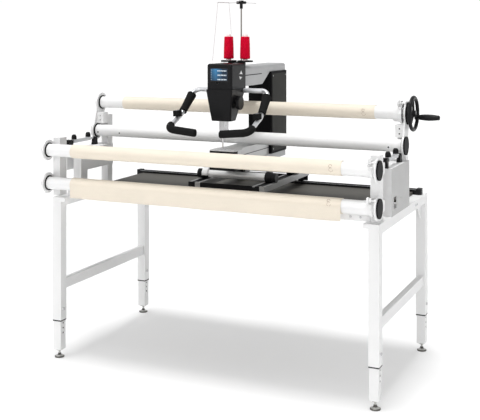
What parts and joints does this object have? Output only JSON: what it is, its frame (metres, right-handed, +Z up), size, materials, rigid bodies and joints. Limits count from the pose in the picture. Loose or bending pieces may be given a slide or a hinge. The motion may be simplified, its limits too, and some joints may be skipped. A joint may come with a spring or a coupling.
{
  "type": "longarm quilting machine on frame",
  "caption": "Quilting machine head that rolls on a carriage across a steel frame with a table, cloth poles and height adjustable legs.",
  "frame": {"origin": "on the floor under the middle of the whole object's box", "axes": "+X along the poles to the operator's right, +Y away from the operator, +Z up"},
  "size_m": [1.918, 0.948, 1.832],
  "materials": {
    "frame_white": "smooth white powder coat",
    "pole_white": "satin white paint on round tube",
    "bolt_grey": "zinc plated",
    "foot_steel": "white inner tube, zinc pad and stud",
    "table_dark": "dark grey laminate",
    "track_black": "black anodised with bright lips",
    "black_plastic": "fine moulded grain",
    "ring_black": "smooth moulding",
    "leader_cloth": "cream woven cotton",
    "rail_silver": "anodised extrusion",
    "wheel_black": "hard black tyre and cap",
    "casting_grey": "silver paint on casting",
    "bright_steel": "polished",
    "cover_dark": "black and dark grey panels",
    "head_black": "semi gloss moulding",
    "screen_blue": "dark glass with a blue picture",
    "bar_silver": "brushed tube",
    "foam_black": "soft closed cell foam and rubber grip",
    "button_grey": "smooth caps",
    "thread_red": "red wound thread on a pale core",
    "thread_pale": "fine pale thread",
    "stand_black": "black paint with a steel mast"
  },
  "bodies": {
    "stand": {"left_end_frame": "frame_white", "right_end_frame": "frame_white", "cross_beams": "frame_white", "table_top": "table_dark", "track_rails": "track_black", "track_end_caps": "black_plastic", "frame_bolts": "bolt_grey", "left_console": "frame_white", "right_console": "frame_white", "pole_posts": "frame_white", "bearing_plates": "frame_white", "bearing_rings": "ring_black", "clamp_rods": "black_plastic", "hanging_leader": "leader_cloth"},
    "leg_fl": {"leg_insert_front_left": "foot_steel"},
    "leg_fr": {"leg_insert_front_right": "foot_steel"},
    "leg_rl": {"leg_insert_rear_left": "foot_steel"},
    "leg_rr": {"leg_insert_rear_right": "foot_steel"},
    "clamp_left": {"clamp_slider_left": "black_plastic"},
    "clamp_right": {"clamp_slider_right": "black_plastic"},
    "take_up_catch": {"pawl_take_up": "pole_white"},
    "upper_catch": {"pawl_upper": "pole_white"},
    "lower_catch": {"pawl_lower": "pole_white"},
    "take_up_roll": {"take_up_pole": "pole_white", "take_up_leader": "leader_cloth", "handwheel": "black_plastic"},
    "crank": {"crank_grip": "black_plastic"},
    "idler_roll": {"idler_pole": "pole_white"},
    "upper_roll": {"upper_front_pole": "pole_white", "upper_leader": "leader_cloth"},
    "lower_roll": {"lower_front_pole": "pole_white", "lower_leader": "leader_cloth"},
    "carriage": {"carriage_rails": "rail_silver", "carriage_crossbars": "black_plastic"},
    "carriage_rollers_left": {"left_carriage_wheels": "wheel_black"},
    "carriage_rollers_right": {"right_carriage_wheels": "wheel_black"},
    "machine": {"machine_base": "casting_grey", "bed_arm": "casting_grey", "needle_plate": "bright_steel", "column_cover": "cover_dark", "arm_casting": "casting_grey", "head_cover": "head_black", "touchscreen": "screen_blue", "face_housing": "head_black", "spool_stand": "stand_black", "thread": "thread_pale", "axle_housings": "rail_silver"},
    "front_rollers": {"front_wheels": "wheel_black"},
    "rear_rollers": {"rear_wheels": "wheel_black"},
    "needle": {"needle_bar": "bright_steel"},
    "foot": {"hopping_foot": "bright_steel"},
    "knob": {"side_knob": "black_plastic"},
    "spool_left": {"cone_left": "thread_red"},
    "spool_right": {"cone_right": "thread_red"},
    "handle_left": {"handlebar_left": "bar_silver", "grips_left": "foam_black"},
    "handle_right": {"handlebar_right": "bar_silver", "grips_right": "foam_black"},
    "keys_left": {"buttons_left": "button_grey"},
    "keys_right": {"buttons_right": "button_grey"}
  },
  "joints": [
    {"name": "leg_fl_height", "type": "slide", "parent": "stand", "child": "leg_fl", "axis": [0, 0, -1], "range_m": [0, 0.15]},
    {"name": "leg_fr_height", "type": "slide", "parent": "stand", "child": "leg_fr", "axis": [0, 0, -1], "range_m": [0, 0.15]},
    {"name": "leg_rl_height", "type": "slide", "parent": "stand", "child": "leg_rl", "axis": [0, 0, -1], "range_m": [0, 0.15]},
    {"name": "leg_rr_height", "type": "slide", "parent": "stand", "child": "leg_rr", "axis": [0, 0, -1], "range_m": [0, 0.15]},
    {"name": "clamp_left_slide", "type": "slide", "parent": "stand", "child": "clamp_left", "axis": [0, 1, 0], "range_m": [-0.002, 0.032]},
    {"name": "clamp_right_slide", "type": "slide", "parent": "stand", "child": "clamp_right", "axis": [0, 1, 0], "range_m": [-0.002, 0.032]},
    {"name": "take_up_catch_pivot", "type": "hinge", "parent": "stand", "child": "take_up_catch", "pos_m": [0.787, 0.057, 1.3245], "axis": [1, 0, 0], "range_deg": [-12, 20]},
    {"name": "upper_catch_pivot", "type": "hinge", "parent": "stand", "child": "upper_catch", "pos_m": [0.787, -0.453, 1.099], "axis": [1, 0, 0], "range_deg": [-12, 20]},
    {"name": "lower_catch_pivot", "type": "hinge", "parent": "stand", "child": "lower_catch", "pos_m": [0.787, -0.453, 0.93], "axis": [1, 0, 0], "range_deg": [-12, 20]},
    {"name": "take_up_roll_turn", "type": "hinge", "parent": "stand", "child": "take_up_roll", "pos_m": [-0.042, 0.089, 1.272], "axis": [1, 0, 0], "continuous": true},
    {"name": "idler_roll_turn", "type": "hinge", "parent": "stand", "child": "idler_roll", "pos_m": [-0.042, 0.039, 1.119], "axis": [1, 0, 0], "continuous": true},
    {"name": "upper_roll_turn", "type": "hinge", "parent": "stand", "child": "upper_roll", "pos_m": [-0.042, -0.421, 1.061], "axis": [1, 0, 0], "continuous": true},
    {"name": "lower_roll_turn", "type": "hinge", "parent": "stand", "child": "lower_roll", "pos_m": [-0.042, -0.421, 0.892], "axis": [1, 0, 0], "continuous": true},
    {"name": "crank_spin", "type": "hinge", "parent": "take_up_roll", "child": "crank", "pos_m": [0.858, 0.15102, 1.24943], "axis": [1, 0, 0], "continuous": true},
    {"name": "carriage_slide", "type": "slide", "parent": "stand", "child": "carriage", "axis": [1, 0, 0], "range_m": [-0.5, 0.5]},
    {"name": "carriage_rollers_left_roll", "type": "hinge", "parent": "carriage", "child": "carriage_rollers_left", "pos_m": [-0.2195, 0.41, 0.8608], "axis": [0, 1, 0], "range_deg": [-1980, 1980]},
    {"name": "carriage_rollers_right_roll", "type": "hinge", "parent": "carriage", "child": "carriage_rollers_right", "pos_m": [0.1355, 0.41, 0.8608], "axis": [0, 1, 0], "range_deg": [-1980, 1980]},
    {"name": "machine_slide", "type": "slide", "parent": "carriage", "child": "machine", "axis": [0, 1, 0], "range_m": [-0.095, 0.13]},
    {"name": "front_rollers_roll", "type": "hinge", "parent": "machine", "child": "front_rollers", "pos_m": [-0.042, -0.045, 0.9333], "axis": [1, 0, 0], "range_deg": [-270, 198]},
    {"name": "rear_rollers_roll", "type": "hinge", "parent": "machine", "child": "rear_rollers", "pos_m": [-0.042, 0.255, 0.9333], "axis": [1, 0, 0], "range_deg": [-270, 198]},
    {"name": "needle_stroke", "type": "slide", "parent": "machine", "child": "needle", "axis": [0, 0, 1], "range_m": [-0.033, 0]},
    {"name": "foot_hop", "type": "slide", "parent": "machine", "child": "foot", "axis": [0, 0, 1], "range_m": [-0.01, 0]},
    {"name": "knob_turn", "type": "hinge", "parent": "machine", "child": "knob", "pos_m": [0.038, -0.187, 1.318], "axis": [1, 0, 0], "continuous": true},
    {"name": "spool_left_spin", "type": "hinge", "parent": "machine", "child": "spool_left", "pos_m": [-0.088, -0.05, 1.59], "axis": [0, 0, 1], "continuous": true},
    {"name": "spool_right_spin", "type": "hinge", "parent": "machine", "child": "spool_right", "pos_m": [0.004, -0.05, 1.59], "axis": [0, 0, 1], "continuous": true},
    {"name": "handle_left_tilt", "type": "hinge", "parent": "machine", "child": "handle_left", "pos_m": [-0.115, -0.121, 1.376], "axis": [1, 0, 0], "range_deg": [-20, 15]},
    {"name": "handle_right_tilt", "type": "hinge", "parent": "machine", "child": "handle_right", "pos_m": [0.031, -0.121, 1.376], "axis": [1, 0, 0], "range_deg": [-20, 15]},
    {"name": "keys_left_press", "type": "slide", "parent": "handle_left", "child": "keys_left", "axis": [0, 0, -1], "range_m": [0, 0.002], "stiffness_N_per_m": 400, "springref_m": -0.002},
    {"name": "keys_right_press", "type": "slide", "parent": "handle_right", "child": "keys_right", "axis": [0, 0, -1], "range_m": [0, 0.002], "stiffness_N_per_m": 400, "springref_m": -0.002}
  ],
  "couplings": [
    {"joint": "carriage_rollers_left_roll", "follows": "carriage_slide", "rad_per_m": 68.966},
    {"joint": "carriage_rollers_right_roll", "follows": "carriage_slide", "rad_per_m": 68.966},
    {"joint": "front_rollers_roll", "follows": "machine_slide", "rad_per_m": -35.714},
    {"joint": "rear_rollers_roll", "follows": "machine_slide", "rad_per_m": -35.714},
    {"joint": "foot_hop", "follows": "needle_stroke", "ratio": 0.3}
  ]
}
